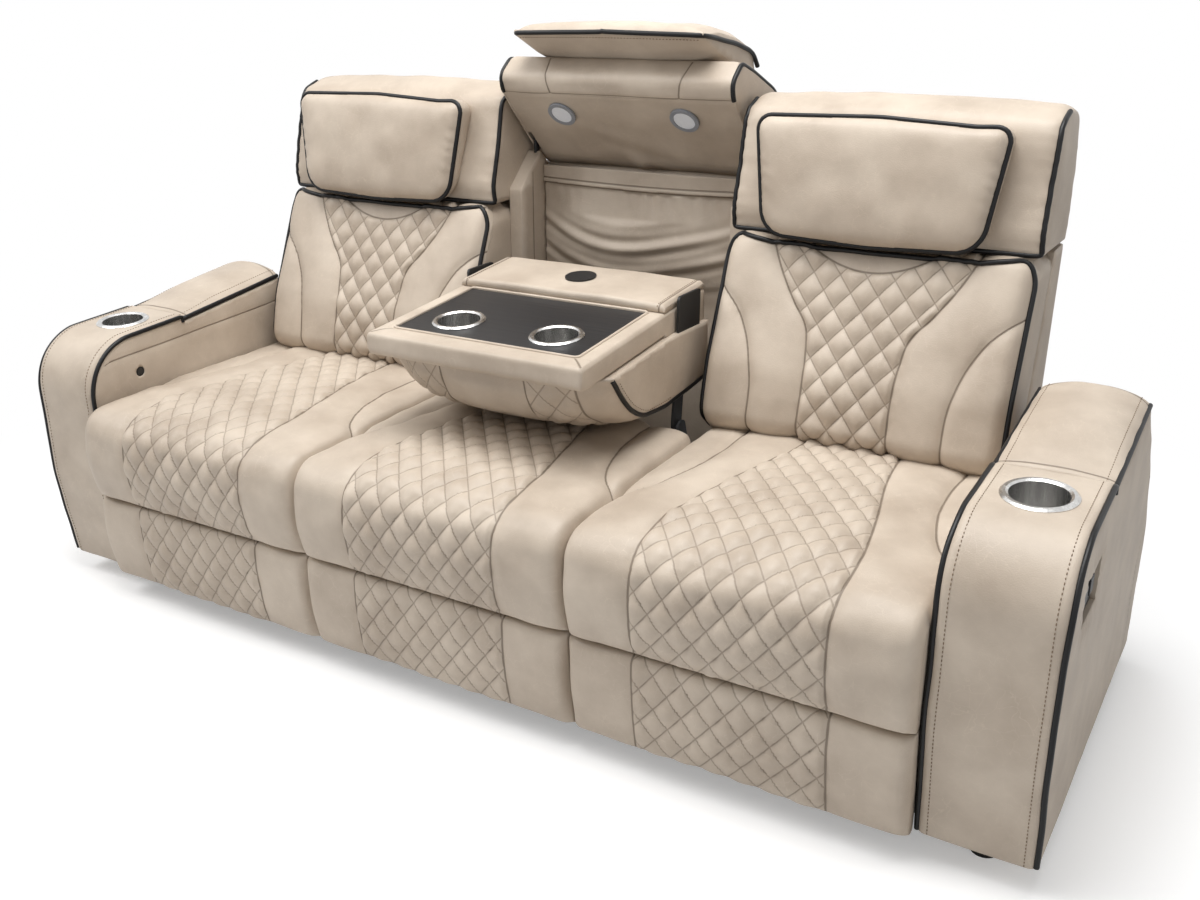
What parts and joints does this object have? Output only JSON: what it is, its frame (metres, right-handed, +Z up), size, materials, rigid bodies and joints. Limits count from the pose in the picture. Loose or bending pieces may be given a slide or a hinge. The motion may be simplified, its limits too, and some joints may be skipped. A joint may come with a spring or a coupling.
{
  "type": "reclining sofa with drop down console",
  "caption": "Reclining three-seat sofa in quilted taupe leather; the middle back folds down as a table console with cups and a storage box.",
  "frame": {"origin": "on the floor under the middle of the sofa's outline", "axes": "+X along the sofa to the viewer's right, -Y to the front, +Z up"},
  "size_m": [2.166, 0.9196, 1.2058],
  "materials": {
    "taupe_leather": "soft matt, diamond quilted panels, black piping",
    "black_steel": "black powder coat",
    "black_plastic": "matt",
    "brushed_steel": "brushed",
    "spring_steel": "oiled",
    "board": "painted board",
    "charcoal_inlay": "open grain, satin",
    "grey_bezel": "satin",
    "frosted_lens": "frosted"
  },
  "bodies": {
    "base": {"base_rails": "black_steel", "glide_feet": "black_plastic", "mechanism_plates": "black_steel", "seat_springs": "spring_steel", "power_box": "black_plastic", "actuators": "black_plastic", "left_arm": "taupe_leather", "right_arm": "taupe_leather", "left_arm_cup": "brushed_steel", "right_arm_cup": "brushed_steel", "left_arm_bin": "black_plastic", "right_arm_bin": "black_plastic", "control_bezels": "black_plastic", "left_seat_cushion": "taupe_leather", "centre_seat_cushion": "taupe_leather", "right_seat_cushion": "taupe_leather", "centre_front_panel": "taupe_leather", "centre_back_frame": "taupe_leather", "centre_posts": "taupe_leather", "recess_pocket": "taupe_leather", "console_ears": "black_steel"},
    "left_back": {"left_back_frame": "taupe_leather", "left_back_cushion": "taupe_leather"},
    "left_head": {"left_head_block": "taupe_leather", "left_head_pillow": "taupe_leather"},
    "left_drive": {"left_drive_links": "black_steel"},
    "left_upper": {"left_upper_links": "black_steel"},
    "left_footrest": {"left_footrest_pad": "taupe_leather", "left_footrest_board": "board"},
    "left_cross": {"left_cross_links": "black_steel"},
    "left_rod": {"left_push_rod": "brushed_steel"},
    "left_arm_lid_body": {"left_arm_lid": "taupe_leather"},
    "left_ring_button_body": {"left_ring_button": "black_plastic"},
    "left_open_button_body": {"left_open_button": "black_plastic"},
    "left_close_button_body": {"left_close_button": "black_plastic"},
    "right_back": {"right_back_frame": "taupe_leather", "right_back_cushion": "taupe_leather"},
    "right_head": {"right_head_block": "taupe_leather", "right_head_pillow": "taupe_leather"},
    "right_drive": {"right_drive_links": "black_steel"},
    "right_upper": {"right_upper_links": "black_steel"},
    "right_footrest": {"right_footrest_pad": "taupe_leather", "right_footrest_board": "board"},
    "right_cross": {"right_cross_links": "black_steel"},
    "right_rod": {"right_push_rod": "brushed_steel"},
    "right_arm_lid_body": {"right_arm_lid": "taupe_leather"},
    "right_ring_button_body": {"right_ring_button": "black_plastic"},
    "right_open_button_body": {"right_open_button": "black_plastic"},
    "right_close_button_body": {"right_close_button": "black_plastic"},
    "console": {"console_tray": "taupe_leather", "console_inlay": "charcoal_inlay", "console_cups": "brushed_steel", "console_cushion": "taupe_leather", "console_arms": "black_steel"},
    "console_cover": {"console_lid": "taupe_leather", "console_charger": "black_plastic"},
    "centre_head": {"centre_head_block": "taupe_leather", "centre_head_pillow": "taupe_leather", "light_bezels": "grey_bezel", "light_lenses": "frosted_lens"}
  },
  "joints": [
    {"name": "left_recline", "type": "hinge", "parent": "base", "child": "left_back", "pos_m": [-0.6, 0.164, 0.34], "axis": [-1, 0, 0], "range_deg": [0, 35]},
    {"name": "left_head_tilt", "type": "hinge", "parent": "left_back", "child": "left_head", "pos_m": [-0.577, 0.23, 0.832], "axis": [1, 0, 0], "range_deg": [0, 20]},
    {"name": "left_drive", "type": "hinge", "parent": "base", "child": "left_drive", "pos_m": [-0.6, -0.2152, 0.2353], "axis": [-1, 0, 0], "range_deg": [0, 119.29]},
    {"name": "left_upper", "type": "hinge", "parent": "left_drive", "child": "left_upper", "pos_m": [-0.6, -0.07964, 0.11073], "axis": [-1, 0, 0], "range_deg": [-86.38, 0]},
    {"name": "left_foot_panel", "type": "hinge", "parent": "left_upper", "child": "left_footrest", "pos_m": [-0.6, -0.374, 0.14], "axis": [-1, 0, 0], "range_deg": [0, 57.09]},
    {"name": "left_cross", "type": "hinge", "parent": "base", "child": "left_cross", "pos_m": [-0.6, -0.2495, 0.2362], "axis": [-1, 0, 0], "range_deg": [0, 117.3]},
    {"name": "left_push_rod", "type": "slide", "parent": "base", "child": "left_rod", "axis": [0, -1, 0], "range_m": [0, 0.08629]},
    {"name": "left_arm_lid_hinge", "type": "hinge", "parent": "base", "child": "left_arm_lid_body", "pos_m": [-0.993, 0.141, 0.61592], "axis": [-1, 0, 0], "range_deg": [0, 90]},
    {"name": "left_ring_press", "type": "slide", "parent": "base", "child": "left_ring_button_body", "axis": [-1, 0, 0], "range_m": [0, 0.0015], "stiffness_N_per_m": 400},
    {"name": "left_open_press", "type": "slide", "parent": "base", "child": "left_open_button_body", "axis": [1, 0, 0], "range_m": [0, 0.0015], "stiffness_N_per_m": 400},
    {"name": "left_close_press", "type": "slide", "parent": "base", "child": "left_close_button_body", "axis": [1, 0, 0], "range_m": [0, 0.0015], "stiffness_N_per_m": 400},
    {"name": "right_recline", "type": "hinge", "parent": "base", "child": "right_back", "pos_m": [0.6, 0.164, 0.34], "axis": [-1, 0, 0], "range_deg": [0, 35]},
    {"name": "right_head_tilt", "type": "hinge", "parent": "right_back", "child": "right_head", "pos_m": [0.577, 0.23, 0.832], "axis": [1, 0, 0], "range_deg": [0, 20]},
    {"name": "right_drive", "type": "hinge", "parent": "base", "child": "right_drive", "pos_m": [0.6, -0.2152, 0.2353], "axis": [-1, 0, 0], "range_deg": [0, 119.29]},
    {"name": "right_upper", "type": "hinge", "parent": "right_drive", "child": "right_upper", "pos_m": [0.6, -0.07964, 0.11073], "axis": [-1, 0, 0], "range_deg": [-86.38, 0]},
    {"name": "right_foot_panel", "type": "hinge", "parent": "right_upper", "child": "right_footrest", "pos_m": [0.6, -0.374, 0.14], "axis": [-1, 0, 0], "range_deg": [0, 57.09]},
    {"name": "right_cross", "type": "hinge", "parent": "base", "child": "right_cross", "pos_m": [0.6, -0.2495, 0.2362], "axis": [-1, 0, 0], "range_deg": [0, 117.3]},
    {"name": "right_push_rod", "type": "slide", "parent": "base", "child": "right_rod", "axis": [0, -1, 0], "range_m": [0, 0.08629]},
    {"name": "right_arm_lid_hinge", "type": "hinge", "parent": "base", "child": "right_arm_lid_body", "pos_m": [0.993, 0.141, 0.61592], "axis": [-1, 0, 0], "range_deg": [0, 90]},
    {"name": "right_ring_press", "type": "slide", "parent": "base", "child": "right_ring_button_body", "axis": [1, 0, 0], "range_m": [0, 0.0015], "stiffness_N_per_m": 400},
    {"name": "right_open_press", "type": "slide", "parent": "base", "child": "right_open_button_body", "axis": [-1, 0, 0], "range_m": [0, 0.0015], "stiffness_N_per_m": 400},
    {"name": "right_close_press", "type": "slide", "parent": "base", "child": "right_close_button_body", "axis": [-1, 0, 0], "range_m": [0, 0.0015], "stiffness_N_per_m": 400},
    {"name": "console_swing", "type": "hinge", "parent": "base", "child": "console", "pos_m": [0, 0.042, 0.456], "axis": [-1, 0, 0], "range_deg": [0, 93]},
    {"name": "console_lid_hinge", "type": "hinge", "parent": "console", "child": "console_cover", "pos_m": [0, 0.177, 0.71093], "axis": [1, 0, 0], "range_deg": [-85, 0]},
    {"name": "centre_head_flip", "type": "hinge", "parent": "base", "child": "centre_head", "pos_m": [0, 0.329, 0.965], "axis": [1, 0, 0], "range_deg": [0, 92]}
  ],
  "couplings": [
    {"joint": "left_upper", "follows": "left_drive", "ratio": -0.72412},
    {"joint": "left_foot_panel", "follows": "left_drive", "ratio": 0.47858},
    {"joint": "left_cross", "follows": "left_drive", "ratio": 0.98332},
    {"joint": "left_push_rod", "follows": "left_drive", "m_per_rad": 0.041446},
    {"joint": "right_upper", "follows": "right_drive", "ratio": -0.72412},
    {"joint": "right_foot_panel", "follows": "right_drive", "ratio": 0.47858},
    {"joint": "right_cross", "follows": "right_drive", "ratio": 0.98332},
    {"joint": "right_push_rod", "follows": "right_drive", "m_per_rad": 0.041446}
  ]
}
